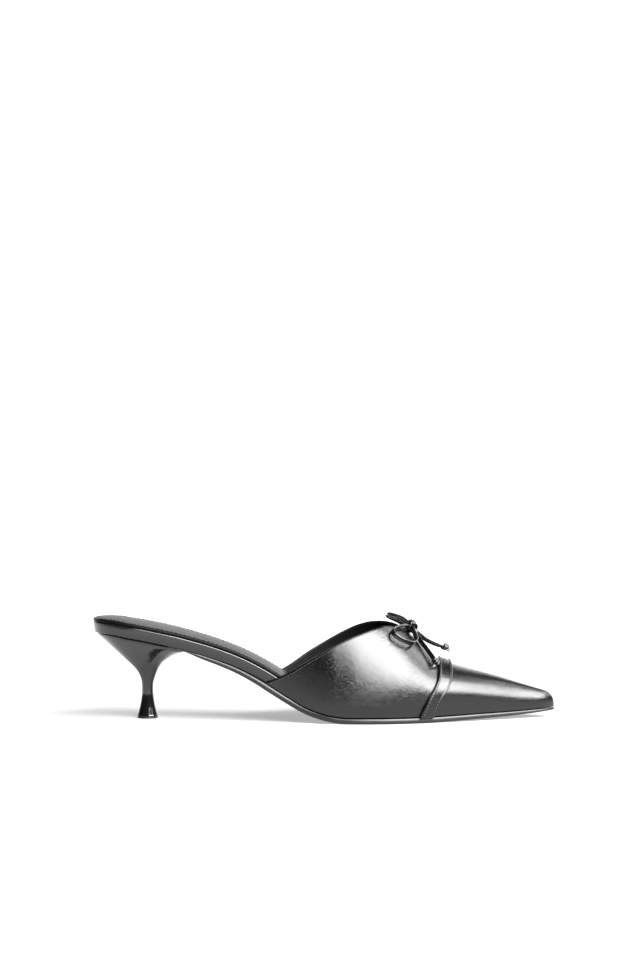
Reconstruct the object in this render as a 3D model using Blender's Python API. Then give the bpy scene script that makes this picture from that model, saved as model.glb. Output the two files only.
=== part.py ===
"""A pointed kitten-heel mule: vamp with a band and a leather bow, wrapped board, padded footbed and sole."""

import math

import bmesh
import bpy
from mathutils import Vector

# Driving sizes, in metres. X runs from the heel to the toe, and +Y is the inner side of a right shoe.
shoe_length = 0.2674
ball_half_width = 0.0364
seat_height = 0.0502
instep_height = 0.0880
collar_height = 0.0552

# Thicknesses and clearances.
gap = 0.0003
upper_wall = 0.0016
outsole_thickness = 0.0030
board_side = 0.0063
board_inside = 0.0022
footbed_thickness = 0.0018
footbed_crown = 0.0007
band_thickness = 0.0015
band_gap = 0.0005
band_width = 0.0083
edge_round = 0.0006
board_lean = 0.0009
outsole_ledge = 0.0003

# Places along the shoe, from the back of the heel.
breast_at = 0.0548
throat_at = 0.1800
seam_foot_at = 0.1000
seam_top_at = 0.1080
board_taper = 0.0450
sole_spread = 0.0400
band_at = 0.2030

# Heel sizes.
heel_base_height = 0.0013
heel_base_length = 0.0120
heel_base_at = 0.0316
heel_inset = 0.0010
lift_inset = 0.0002

# Bow sizes.
bow_cord = 0.0022
bow_knot_width = 0.0064
end_knot_width = 0.0046

# Rounding of the plan at the heel and at the toe.
heel_round_length = 0.0270
heel_round_power = 2.15
toe_round_length = 0.0085
toe_round_power = 2.3
nose_length = 0.0070
nose_power = 3.0

# The line the last's bottom follows, from heel to toe. Columns: place as a share of the shoe's length, rise
# above the ball as a share of the seat's, thickness of the outsole as a share of its own.
bottom_line = (
    (0.000, 1.0000, 0.62),
    (0.024, 0.9980, 0.62),
    (0.051, 0.9850, 0.62),
    (0.075, 0.9590, 0.62),
    (0.101, 0.9340, 0.62),
    (0.144, 0.8840, 0.62),
    (0.177, 0.8420, 0.62),
    (0.210, 0.7920, 0.64),
    (0.242, 0.7400, 0.72),
    (0.275, 0.6780, 0.82),
    (0.318, 0.5800, 0.90),
    (0.361, 0.4540, 1.00),
    (0.385, 0.3710, 1.06),
    (0.410, 0.2830, 1.06),
    (0.435, 0.1960, 1.02),
    (0.460, 0.1180, 1.00),
    (0.487, 0.0600, 1.00),
    (0.515, 0.0220, 1.00),
    (0.545, 0.0020, 1.00),
    (0.570, 0.0000, 1.00),
    (0.710, 0.0000, 1.00),
    (0.760, 0.0057, 0.98),
    (0.840, 0.0174, 0.88),
    (0.900, 0.0249, 0.76),
    (0.950, 0.0356, 0.62),
    (1.000, 0.0506, 0.42),
)

# Plan of the board. Columns: place, outer side and inner side, as shares of the ball's half width.
plan_sides = (
    (0.000, 0.700, 0.690),
    (0.101, 0.705, 0.700),
    (0.150, 0.705, 0.695),
    (0.215, 0.680, 0.640),
    (0.300, 0.670, 0.540),
    (0.375, 0.690, 0.500),
    (0.425, 0.745, 0.560),
    (0.475, 0.855, 0.690),
    (0.525, 0.965, 0.830),
    (0.575, 1.000, 0.945),
    (0.625, 0.985, 1.000),
    (0.665, 0.930, 0.995),
    (0.710, 0.820, 0.940),
    (0.760, 0.670, 0.830),
    (0.815, 0.480, 0.700),
    (0.870, 0.285, 0.570),
    (0.925, 0.085, 0.435),
    (1.000, -0.170, 0.255),
)

# Sections of the upper. Columns: place, ridge above the floor as a share of the instep height, ridge's shift
# from the middle toward the inner side as a share of the ball's half width, bulge beyond the feather line as a
# share of the board's side, height of the widest place above that line as a share of the board's side.
upper_sections = (
    (0.360, 0.985, -0.010, 0.05, 1.60),
    (0.410, 0.955, 0.005, 0.10, 1.60),
    (0.460, 0.915, 0.025, 0.20, 1.52),
    (0.510, 0.870, 0.040, 0.30, 1.30),
    (0.560, 0.818, 0.037, 0.36, 1.12),
    (0.620, 0.722, 0.034, 0.38, 1.10),
    (0.673, 0.595, 0.023, 0.38, 1.42),
    (0.703, 0.508, 0.015, 0.36, 1.56),
    (0.722, 0.445, 0.008, 0.34, 1.68),
    (0.736, 0.404, 0.009, 0.33, 1.75),
    (0.748, 0.382, 0.010, 0.32, 1.78),
    (0.766, 0.367, 0.010, 0.31, 1.76),
    (0.795, 0.341, 0.006, 0.29, 1.68),
    (0.866, 0.283, -0.012, 0.24, 1.18),
    (0.934, 0.2185, -0.030, 0.20, 0.74),
    (1.000, 0.157, -0.040, 0.15, 0.50),
)

# Collar line. Columns: place as a share of the way from the top of the rear seam to the throat, height on the
# outer side and on the inner side as shares of the collar height.
collar_line = (
    (0.000, 0.476, 0.476),
    (0.082, 0.534, 0.540),
    (0.197, 0.626, 0.645),
    (0.390, 0.770, 0.795),
    (0.524, 0.862, 0.890),
    (0.643, 0.925, 0.958),
    (0.747, 0.972, 0.992),
    (0.840, 0.997, 1.000),
    (0.900, 0.988, 0.992),
)

# Band across the vamp. Columns: share of the way up from the feather line to the ridge, shift of the band's
# middle from the ridge toward the heel, as a share of the band's width.
band_path = (
    (0.00, 1.32),
    (0.10, 1.10),
    (0.20, 0.80),
    (0.34, 0.32),
    (0.50, 0.06),
    (0.70, -0.02),
    (1.00, 0.00),
)

# Rings of the heel's cup, from the seat down to the stem. Columns: how far the ring reaches from the stem to
# the seat's back, to the breast and to the seat's sides, heights of its back and front as shares of the seat's
# height, how square its front is, and how much it follows the seat's curve.
cup_rings = (
    (0.888, 0.945, 0.990, 0.968, 0.782, 5.5, 0.8),
    (0.710, 0.779, 0.795, 0.876, 0.757, 4.0, 0.5),
    (0.519, 0.603, 0.590, 0.778, 0.728, 3.2, 0.2),
    (0.332, 0.427, 0.395, 0.682, 0.688, 2.7, 0.0),
    (0.191, 0.276, 0.236, 0.608, 0.644, 2.4, 0.0),
    (0.099, 0.168, 0.130, 0.552, 0.592, 2.3, 0.0),
    (0.035, 0.085, 0.050, 0.492, 0.522, 2.2, 0.0),
)

# Rings of the heel's stem, downward. Columns: height as a share of the seat's, length and width as shares of
# the base's.
stem_rings = (
    (0.424, 0.600, 0.750),
    (0.338, 0.550, 0.690),
    (0.258, 0.590, 0.700),
    (0.160, 0.710, 0.790),
    (0.088, 0.858, 0.900),
)

# Bow routes by hand, in metres from the throat's ridge: forward, toward the inner side, up. Each strand also
# starts at the side of its knot.
near_loop_route = (
    (-0.0014, -0.0137, 0.0016),
    (-0.0047, -0.0202, 0.0014),
    (-0.0069, -0.0252, 0.0004),
    (-0.0061, -0.0282, -0.0018),
    (-0.0029, -0.0287, -0.0043),
    (0.0009, -0.0272, -0.0062),
    (0.0044, -0.0237, -0.0072),
    (0.0065, -0.0182, -0.0063),
    (0.0065, -0.0122, -0.0041),
)
far_loop_route = (
    (-0.0003, 0.0058, 0.0042),
    (-0.0040, 0.0118, 0.0054),
    (-0.0074, 0.0163, 0.0061),
    (-0.0090, 0.0193, 0.0056),
    (-0.0078, 0.0203, 0.0043),
    (-0.0044, 0.0183, 0.0031),
    (-0.0007, 0.0138, 0.0015),
    (0.0030, 0.0078, -0.0001),
)
near_end_route = (
    (0.0074, -0.0022, -0.0034),
    (0.0091, -0.0072, -0.0068),
    (0.0113, -0.0107, -0.0096),
    (0.0136, -0.0137, -0.0125),
    (0.0157, -0.0167, -0.0153),
)
far_end_route = (
    (0.0076, 0.0018, -0.0031),
    (0.0105, 0.0058, -0.0058),
    (0.0138, 0.0088, -0.0083),
    (0.0174, 0.0113, -0.0102),
    (0.0206, 0.0133, -0.0115),
)
bow_knot_place = (0.0042, -0.0017, 0.0007)
near_knot_place = (0.0178, -0.0199, -0.0182)
far_knot_place = (0.0243, 0.0148, -0.0125)

# Share of the way up the upper that lies below its widest place.
low_share = 0.22

# Counts for the meshes.
plate_stations = 34
across_count = 6
upper_rows = 33
upper_half = 16
ring_points = 32
loop_points = 22
end_points = 12


def through(rows, column):
    """Smooth curve through one column of a table, flat wherever two rows are equal."""
    xs = [row[0] for row in rows]
    ys = [row[column] for row in rows]
    steps = [(y2 - y1) / (x2 - x1) for x1, x2, y1, y2 in zip(xs, xs[1:], ys, ys[1:])]
    slopes = [steps[0]]
    for before, after in zip(steps, steps[1:]):
        level = before * after <= 0
        slopes.append(0.0 if level else 2 * before * after / (before + after))
    slopes.append(steps[-1])

    def value(x):
        x = min(max(x, xs[0]), xs[-1])
        k = max(i for i in range(len(xs) - 1) if xs[i] <= x)
        width = xs[k + 1] - xs[k]
        t = (x - xs[k]) / width
        rise = ys[k + 1] - ys[k]
        left = slopes[k] * width
        right = slopes[k + 1] * width
        bend = (left + right - 2 * rise) * t + (3 * rise - 2 * left - right)
        return ys[k] + t * (left + t * bend)

    return value


bottom_rise = through(bottom_line, 1)
sole_share = through(bottom_line, 2)
outer_side = through(plan_sides, 1)
inner_side = through(plan_sides, 2)
ridge_height = through(upper_sections, 1)
ridge_shift = through(upper_sections, 2)
bulge_share = through(upper_sections, 3)
widest_share = through(upper_sections, 4)
throat_share = instep_height * ridge_height(throat_at / shoe_length) / collar_height
whole_collar = (*collar_line, (1.0, throat_share, throat_share))
collar_outer = through(whole_collar, 1)
collar_inner = through(whole_collar, 2)
band_shift = through(band_path, 1)


def ease(x, start, end):
    """0 before start, 1 after end, and smooth between them."""
    t = min(max((x - start) / (end - start), 0.0), 1.0)
    return t * t * (3 - 2 * t)


def base_height(x):
    """Height of the last's bottom line at a distance from the back of the heel."""
    ball = outsole_thickness + gap
    return ball + (seat_height - ball) * bottom_rise(x / shoe_length)


def lifted(x, y, rise):
    """World point a rise above the bottom line, square to it. The middle of the length is at X = 0."""
    step = shoe_length / 500
    slope = (base_height(x + step) - base_height(x - step)) / (2 * step)
    square = math.hypot(1.0, slope)
    along = x - rise * slope / square - shoe_length / 2
    return Vector((along, y, base_height(x) + rise / square))


def end_round(distance, length, power):
    """How far a rounded end has opened at a distance from its tip."""
    t = min(max(1 - distance / length, 0.0), 1.0)
    return (1 - t**power) ** (1 / power)


toe_reach = shoe_length - gap - upper_wall


def centre_line(x):
    """Middle of the board, which swings toward the inner side at the toe."""
    return ball_half_width * (inner_side(x / shoe_length) - outer_side(x / shoe_length)) / 2


def half_width(x, side, grow):
    """Distance from the axis to the board's edge, grown outward. Side is -1 for outer and 1 for inner."""
    half = ball_half_width * (inner_side(x / shoe_length) + outer_side(x / shoe_length)) / 2 + grow
    heel = end_round(x + grow, heel_round_length, heel_round_power)
    toe = end_round(toe_reach + grow - x, toe_round_length, toe_round_power)
    return side * centre_line(x) + half * heel * toe


def stations(start, end, count):
    """Places from start to end, closer together toward both ends."""
    return [start + (end - start) * (1 - math.cos(math.pi * i / count)) / 2 for i in range(count + 1)]


def make_object(name, bm, material, smooth_angle=40):
    """Closes a mesh, points its faces outward and links it under its own name."""
    bmesh.ops.remove_doubles(bm, verts=bm.verts, dist=1e-6)
    bmesh.ops.dissolve_degenerate(bm, dist=1e-6, edges=bm.edges)
    bmesh.ops.recalc_face_normals(bm, faces=bm.faces)
    mesh = bpy.data.meshes.new(name)
    bm.to_mesh(mesh)
    bm.free()
    mesh.materials.append(material)
    mesh.shade_smooth()
    mesh.set_sharp_from_angle(angle=math.radians(smooth_angle))
    obj = bpy.data.objects.new(name, mesh)
    bpy.context.scene.collection.objects.link(obj)
    return obj


def finish(name, colour, roughness, coat=0.0):
    """A plain glossy or matt finish."""
    material = bpy.data.materials.new(name)
    material.use_nodes = True
    shader = material.node_tree.nodes["Principled BSDF"]
    shader.inputs["Base Color"].default_value = (*colour, 1.0)
    shader.inputs["Roughness"].default_value = roughness
    shader.inputs["Coat Weight"].default_value = coat
    material.diffuse_color = (*colour, 1.0)
    return material


def strip(bm, first, second, closed):
    """Quads between two rows of vertices of the same length."""
    count = len(first)
    for i in range(count if closed else count - 1):
        j = (i + 1) % count
        corners = dict.fromkeys((first[i], first[j], second[j], second[i]))
        if len(corners) > 2:
            bm.faces.new(corners)


def cover(bm, ring, half, crown):
    """Fills a ring across, from each outer point to the inner point at the same place, with a crown."""
    rows = []
    for i in range(half + 1):
        left = ring[i]
        right = ring[len(ring) - 1 - i]
        inside = []
        for k in range(1, across_count):
            t = k / across_count
            point = left.co.lerp(right.co, t)
            point.z += crown * min(1.0, (left.co - right.co).length / ball_half_width) * 4 * t * (1 - t)
            inside.append(bm.verts.new(point))
        rows.append([left, *inside, right])
    for before, after in zip(rows, rows[1:]):
        strip(bm, before, after, closed=False)
    return rows[0]


def plate(name, material, start, end, levels, crown=0.0):
    """A sheet that lies along the bottom line. Each level gives its outward growth and its rise at a place."""
    bm = bmesh.new()
    rings = []
    for grow, rise in levels:
        places = stations(start(grow), end(grow), plate_stations)
        edge = []
        for side in (-1, 1):
            order = places if side < 0 else reversed(places)
            edge += [(x, side * half_width(x, side, grow(x) if callable(grow) else grow)) for x in order]
        rings.append([bm.verts.new(lifted(x, y, rise(x))) for x, y in edge])
    for lower, higher in zip(rings, rings[1:]):
        strip(bm, lower, higher, closed=False)
    low_end = cover(bm, rings[0], plate_stations, 0.0)
    high_end = cover(bm, rings[-1], plate_stations, crown)
    if (low_end[0].co - low_end[-1].co).length > edge_round:
        left = [level[0] for level in rings[1:-1]]
        right = [level[-1] for level in rings[1:-1]]
        bm.faces.new([*reversed(low_end), *left, *high_end, *reversed(right)])
    return make_object(name, bm, material)


def board_thickness(x):
    """The wrapped side is deep behind the vamp and thin inside it."""
    return board_side + (board_inside - board_side) * ease(x, seam_top_at, seam_top_at + board_taper)


def board_start(grow):
    return -grow


def board_end(grow):
    return toe_reach + grow


def insole_board(material):
    """Board with its wrapped side, which leans outward toward the foot."""
    levels = (
        (-board_lean - edge_round, lambda x: 0.0),
        (-board_lean, lambda x: edge_round),
        (-edge_round / 4, lambda x: board_thickness(x) - edge_round),
        (-edge_round, board_thickness),
    )
    return plate("insole_board", material, board_start, board_end, levels)


def footbed_low(x):
    return board_thickness(x) + gap


def footbed(material):
    """Padded sock on the board, with a rounded lip and a slight crown."""
    levels = (
        (-edge_round, footbed_low),
        (-edge_round / 4, lambda x: footbed_low(x) + edge_round / 2),
        (-edge_round / 2, lambda x: footbed_low(x) + footbed_thickness - edge_round),
        (-2 * edge_round, lambda x: footbed_low(x) + footbed_thickness),
    )
    return plate("footbed", material, board_start, board_end, levels, crown=footbed_crown)


def sole_edge(x):
    """The sole is narrower than the board behind the vamp, and a little wider than the upper under it."""
    under = gap + upper_wall + outsole_ledge
    return -heel_inset + (under + heel_inset) * ease(x, seam_foot_at - sole_spread, seam_top_at)


def outsole(material):
    """Thin sole from the heel's breast to the toe, flat where the ball rests."""
    start = breast_at + gap

    def low(x):
        return -gap - outsole_thickness * sole_share(x / shoe_length)

    def level(inset, rise):
        return (lambda x: sole_edge(x) - inset, rise)

    levels = (
        level(2 * edge_round, low),
        level(edge_round / 2, lambda x: low(x) + edge_round),
        level(0.0, lambda x: low(x) * 0.5 - gap / 2),
        level(0.0, lambda x: -gap),
    )
    return plate("outsole", material, lambda grow: start, lambda grow: toe_reach + grow(toe_reach), levels)


def section_point(x, share, side):
    """Point of the upper's outer face at a place, a share of the way up from the feather line to the ridge."""
    at = x / shoe_length
    grow = gap + upper_wall
    foot = base_height(x) + gap
    nose = end_round(shoe_length - x, nose_length, nose_power)
    toe = end_round(shoe_length - x, toe_round_length, toe_round_power)
    top = foot + (instep_height * ridge_height(at) - foot) * nose
    edge = half_width(x, side, grow)
    bulge = board_side * bulge_share(at) * toe
    wide = edge + bulge
    widest = min(foot + board_side * widest_share(at) * nose, foot + 0.6 * (top - foot))
    middle = centre_line(x) + ball_half_width * ridge_shift(at) * toe
    if share < low_share:
        t = share / low_share
        return Vector((x, side * (wide - bulge * (1 - t) ** 2), foot + (widest - foot) * t))
    angle = math.pi / 2 * (share - low_share) / (1 - low_share)
    y = middle + (side * wide - middle) * math.cos(angle)
    return Vector((x, y, widest + (top - widest) * math.sin(angle)))


def collar_top(x, side):
    """Height of the collar's edge at a place: the rear seam at first, then the collar line."""
    share = collar_inner if side > 0 else collar_outer
    if x > seam_top_at:
        return collar_height * share((x - seam_top_at) / (throat_at - seam_top_at))
    foot = base_height(seam_foot_at) + gap
    way = (x - seam_foot_at) / (seam_top_at - seam_foot_at)
    return foot + (collar_height * share(0.0) - foot) * way


def collar_place(share, side):
    """Where the collar's edge crosses the upper at a share of the way up, found by halving."""
    low = seam_foot_at
    high = throat_at
    for _ in range(30):
        middle = (low + high) / 2
        if section_point(middle, share, side).z > collar_top(middle, side):
            low = middle
        else:
            high = middle
    return (low + high) / 2


def way_round(count):
    """Shares and sides from the outer feather line over the ridge to the inner one."""
    outer = [(i / count, -1) for i in range(count + 1)]
    inner = [(i / count, 1) for i in reversed(range(count))]
    return outer + inner


def upper_grid(starts, ends, rows, shift):
    """Rows of points on the upper from starts to ends, shifted outward along the surface's normal."""
    around = way_round(upper_half)
    middle = shoe_length / 2
    grid = []
    for r in range(rows + 1):
        t = math.sin(math.pi / 2 * r / rows)
        row = []
        for (share, side), start, end in zip(around, starts, ends):
            x = start + (end - start) * t
            row.append(section_point(x, share, side) + upper_normal(x, share, side) * shift)
        grid.append([point - Vector((middle, 0.0, 0.0)) for point in row])
    return grid


def upper_normal(x, share, side):
    """Outward normal of the upper's outer face."""
    if x > shoe_length - 1e-5:
        return Vector((1.0, 0.0, 0.0))
    step = 2e-4
    after = min(x + step, shoe_length)
    along = section_point(after, share, side) - section_point(x - step, share, side)
    up = min(share + 0.02, 1.0)
    down = max(share - 0.02, 0.0)
    across = section_point(x, up, side) - section_point(x, down, side)
    normal = along.cross(across) if side < 0 else across.cross(along)
    return normal.normalized()


def shell(name, material, outside, inside):
    """A closed wall between two grids of points of the same size."""
    bm = bmesh.new()
    faces = [[[bm.verts.new(point) for point in row] for row in grid] for grid in (outside, inside)]
    for rows in faces:
        for before, after in zip(rows, rows[1:]):
            strip(bm, before, after, closed=False)
    outer, inner = faces
    strip(bm, outer[0], inner[0], closed=False)
    strip(bm, outer[-1], inner[-1], closed=False)
    for column in (0, -1):
        strip(bm, [row[column] for row in outer], [row[column] for row in inner], closed=False)
    return make_object(name, bm, material)


def upper(material):
    """Vamp in one hollow wall, open at the collar and where the sole closes it."""
    around = way_round(upper_half)
    starts = [collar_place(share, side) for share, side in around]
    tip = [shoe_length] * len(around)
    inner_tip = [shoe_length - upper_wall] * len(around)
    outside = upper_grid(starts, tip, upper_rows, 0.0)
    inside = upper_grid(starts, inner_tip, upper_rows, -upper_wall)
    return shell("upper", material, outside, inside)


def band_edges(side_of_band):
    """Places of the band's rear or front edge around the upper."""
    shares = [share for share, side in way_round(upper_half)]
    return [band_at + band_width * (side_of_band / 2 - band_shift(share)) for share in shares]


def vamp_band(material):
    """Raised band over the vamp, cut from the upper's own form."""
    rear = band_edges(-1)
    front = band_edges(1)
    outside = upper_grid(rear, front, 6, band_gap + band_thickness)
    inside = upper_grid(rear, front, 6, band_gap)
    return shell("vamp_band", material, outside, inside)


def ring(back, front, half, square):
    """Plan of one heel ring, round at the back and squarer at the front, as (x, y) pairs."""
    middle = (back + front) / 2
    points = []
    for i in range(ring_points):
        angle = 2 * math.pi * (i + 0.5) / ring_points
        c = math.cos(angle)
        s = math.sin(angle)
        power = square if c > 0 else 2.1
        size = (abs(c) ** power + abs(s) ** power) ** (-1 / power)
        points.append((middle + (front - back) / 2 * c * size, half * s * size))
    return points


def seat_half_width():
    """Half width of the heel's top, a little inside the board's lower edge."""
    return ball_half_width * plan_sides[1][1] - board_lean - edge_round - heel_inset


def seat_ring():
    """Top of the heel, which follows the board."""
    back = board_lean + edge_round + heel_inset
    return [lifted(x, y, -gap) for x, y in ring(back, breast_at, seat_half_width(), 7.0)]


def level_ring(half_length, half_width_here, height):
    """A level ring round the middle of the stem."""
    plan = ring(heel_base_at - half_length, heel_base_at + half_length, half_width_here, 2.2)
    return [Vector((x - shoe_length / 2, y, height)) for x, y in plan]


def stacked(name, material, rings):
    """Closed solid through a stack of rings, filled across at both ends."""
    bm = bmesh.new()
    loops = [[bm.verts.new(point) for point in points] for points in rings]
    for upper_loop, lower_loop in zip(loops, loops[1:]):
        strip(bm, upper_loop, lower_loop, closed=True)
    for loop in (loops[0], loops[-1]):
        for i in range(ring_points // 2 - 1):
            bm.faces.new((loop[i], loop[i + 1], loop[-2 - i], loop[-1 - i]))
    return make_object(name, bm, material)


def heel(material):
    """Kitten heel: a cupped seat that narrows to a thin stem and flares at the base."""
    rings = [seat_ring()]
    stem = heel_base_length / 2 * stem_rings[0][1]
    stem_width = heel_base_length / 2 * stem_rings[0][2]
    stem_back = heel_base_at - stem
    stem_front = heel_base_at + stem
    seat_width = seat_half_width()
    for back, front, sides, back_up, front_up, square, follow in cup_rings:
        x_back = stem_back * (1 - back)
        x_front = stem_front + (breast_at - stem_front) * front
        half = stem_width + (seat_width - stem_width) * sides
        points = []
        for x, y in ring(x_back, x_front, half, square):
            t = (x - x_back) / (x_front - x_back)
            chord = base_height(x_back) + (base_height(x_front) - base_height(x_back)) * t
            z = seat_height * (back_up + (front_up - back_up) * t) + follow * (base_height(x) - chord)
            points.append(Vector((x - shoe_length / 2, y, z)))
        rings.append(points)
    for height, length, width in stem_rings:
        rings.append(level_ring(length * heel_base_length / 2, width * heel_base_length / 2, seat_height * height))
    rings.append(level_ring(heel_base_length / 2, heel_base_length / 2, heel_base_height))
    return stacked("heel", material, rings)


def heel_tip(material):
    """Top lift, with a rounded lower edge."""
    rings = []
    for inset, height in ((0.0, heel_base_height - gap), (0.0, edge_round / 2), (edge_round / 2, 0.0)):
        half = heel_base_length / 2 - lift_inset - inset
        rings.append(level_ring(half, half, height))
    return stacked("heel_tip", material, rings)


def bow_place(offset):
    """World place of a point given from the throat's ridge."""
    ridge = section_point(throat_at, 1.0, -1)
    return ridge + Vector(offset) - Vector((shoe_length / 2, 0.0, 0.0))


def beside(knot_place, toward, size):
    """Point just clear of a knot's surface, on the way to a strand's first free point."""
    centre = bow_place(knot_place)
    return centre + (bow_place(toward) - centre).normalized() * (size / 2 + gap)


def spline_points(places, count):
    """Points on a smooth curve through the places."""
    ends = [places[0] * 2 - places[1], *places, places[-1] * 2 - places[-2]]
    points = []
    for k in range(count + 1):
        at = k / count * (len(places) - 1)
        i = min(int(at), len(places) - 2)
        t = at - i
        a, b, c, d = ends[i : i + 4]
        points.append(
            (b * 2 + (c - a) * t + (a * 2 - b * 5 + c * 4 - d) * t**2 + (b * 3 - a - c * 3 + d) * t**3) / 2
        )
    return points


def strand_places(route, end_place, end_size):
    """A strand from the bow's knot through its route to the knot where it ends."""
    start = beside(bow_knot_place, route[0], bow_knot_width)
    end = beside(end_place, route[-1], end_size)
    return [start, *(bow_place(offset) for offset in route), end]


def cord(name, material, places, count):
    """A strand of the bow: a round tube through its places."""
    curve = bpy.data.curves.new(name, "CURVE")
    curve.dimensions = "3D"
    curve.bevel_depth = bow_cord / 2
    curve.bevel_resolution = 2
    curve.use_fill_caps = True
    spline = curve.splines.new("POLY")
    spline.points.add(count)
    for place, point in zip(spline.points, spline_points(places, count)):
        place.co = (*point, 1.0)
    curve.materials.append(material)
    obj = bpy.data.objects.new(name, curve)
    bpy.context.scene.collection.objects.link(obj)
    return obj


def knot(name, material, offset, size):
    """A pulled knot as a small rounded body."""
    bm = bmesh.new()
    bmesh.ops.create_icosphere(bm, subdivisions=2, radius=0.5)
    bmesh.ops.scale(bm, vec=size, verts=bm.verts)
    bmesh.ops.translate(bm, vec=bow_place(offset), verts=bm.verts)
    return make_object(name, bm, material)


def main():
    for obj in list(bpy.data.objects):
        bpy.data.objects.remove(obj, do_unlink=True)
    glossy_leather = finish("glossy_leather", (0.012, 0.012, 0.013), 0.16, 0.6)
    board_leather = finish("board_leather", (0.016, 0.016, 0.018), 0.22, 0.5)
    sock_leather = finish("sock_leather", (0.014, 0.014, 0.015), 0.25, 0.4)
    sole_finish = finish("sole_finish", (0.030, 0.030, 0.032), 0.40)
    heel_finish = finish("heel_finish", (0.014, 0.014, 0.016), 0.12, 0.7)
    lift_rubber = finish("lift_rubber", (0.010, 0.010, 0.010), 0.55)
    bow_leather = finish("bow_leather", (0.010, 0.010, 0.011), 0.20, 0.5)

    outsole(sole_finish)
    insole_board(board_leather)
    footbed(sock_leather)
    upper(glossy_leather)
    vamp_band(glossy_leather)
    heel(heel_finish)
    heel_tip(lift_rubber)
    for name, route in (("bow_loop_near", near_loop_route), ("bow_loop_far", far_loop_route)):
        cord(name, bow_leather, strand_places(route, bow_knot_place, bow_knot_width), loop_points)
    for name, route, place in (
        ("bow_end_near", near_end_route, near_knot_place),
        ("bow_end_far", far_end_route, far_knot_place),
    ):
        cord(name, bow_leather, strand_places(route, place, end_knot_width), end_points)
    wide = bow_knot_width
    small = end_knot_width
    knot("bow_knot", bow_leather, bow_knot_place, (wide, wide, 0.85 * wide))
    knot("end_knot_near", bow_leather, near_knot_place, (small, small, small))
    knot("end_knot_far", bow_leather, far_knot_place, (small, small, small))


main()
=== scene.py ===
import math

import bmesh
import bpy
import numpy as np
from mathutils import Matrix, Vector


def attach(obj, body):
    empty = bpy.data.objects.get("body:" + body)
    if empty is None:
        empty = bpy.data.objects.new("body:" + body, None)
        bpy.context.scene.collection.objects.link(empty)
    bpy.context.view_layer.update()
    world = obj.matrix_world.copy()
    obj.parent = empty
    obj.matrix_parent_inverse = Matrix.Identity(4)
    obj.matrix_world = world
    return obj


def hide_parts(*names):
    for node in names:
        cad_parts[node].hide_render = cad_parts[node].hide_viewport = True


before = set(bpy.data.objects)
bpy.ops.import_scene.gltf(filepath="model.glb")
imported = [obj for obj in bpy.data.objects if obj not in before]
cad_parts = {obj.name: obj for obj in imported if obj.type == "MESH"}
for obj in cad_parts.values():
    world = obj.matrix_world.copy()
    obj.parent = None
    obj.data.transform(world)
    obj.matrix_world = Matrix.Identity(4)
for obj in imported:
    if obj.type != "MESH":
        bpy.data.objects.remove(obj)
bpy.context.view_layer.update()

# A pointed kitten-heel mule in glossy black leather. X runs from heel to toe, +Y is the inner side, metres.
shoe = {
    "length": 0.2674,
    "ballHalfWidth": 0.0364,
    "seatHeight": 0.0502,
    "instepHeight": 0.0880,
    "collarHeight": 0.0552,
    "gap": 0.0003,
    "upperWall": 0.0016,
    "outsoleThickness": 0.0030,
    "boardSide": 0.0063,
    "boardInside": 0.0022,
    "boardTaper": 0.0450,
    "boardLean": 0.0009,
    "edgeRound": 0.0006,
    "breastAt": 0.0548,
    "throatAt": 0.1800,
    "seamFootAt": 0.1000,
    "seamTopAt": 0.1080,
    "bandAt": 0.2030,
    "lowShare": 0.22,
    "widestLimit": 0.6,
    "heelRound": 0.0270,
    "heelRoundPower": 2.15,
    "toeRound": 0.0085,
    "toeRoundPower": 2.3,
    "noseRound": 0.0070,
    "noseRoundPower": 3.0,
}

# The line that the last's bottom follows: place, rise, thickness of the outsole.
bottomLine = (
    (0.000, 1.0000, 0.62), (0.024, 0.9980, 0.62), (0.051, 0.9850, 0.62), (0.075, 0.9590, 0.62),
    (0.101, 0.9340, 0.62), (0.144, 0.8840, 0.62), (0.177, 0.8420, 0.62), (0.210, 0.7920, 0.64),
    (0.242, 0.7400, 0.72), (0.275, 0.6780, 0.82), (0.318, 0.5800, 0.90), (0.361, 0.4540, 1.00),
    (0.385, 0.3710, 1.06), (0.410, 0.2830, 1.06), (0.435, 0.1960, 1.02), (0.460, 0.1180, 1.00),
    (0.487, 0.0600, 1.00), (0.515, 0.0220, 1.00), (0.545, 0.0020, 1.00), (0.570, 0.0000, 1.00),
    (0.710, 0.0000, 1.00), (0.760, 0.0057, 0.98), (0.840, 0.0174, 0.88), (0.900, 0.0249, 0.76),
    (0.950, 0.0356, 0.62), (1.000, 0.0506, 0.42),
)
# Plan of the board: place, outer side, inner side.
planSides = (
    (0.000, 0.700, 0.690), (0.101, 0.705, 0.700), (0.150, 0.705, 0.695), (0.215, 0.680, 0.640),
    (0.300, 0.670, 0.540), (0.375, 0.690, 0.500), (0.425, 0.745, 0.560), (0.475, 0.855, 0.690),
    (0.525, 0.965, 0.830), (0.575, 1.000, 0.945), (0.625, 0.985, 1.000), (0.665, 0.930, 0.995),
    (0.710, 0.820, 0.940), (0.760, 0.670, 0.830), (0.815, 0.480, 0.700), (0.870, 0.285, 0.570),
    (0.925, 0.085, 0.435), (1.000, -0.170, 0.255),
)
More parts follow.
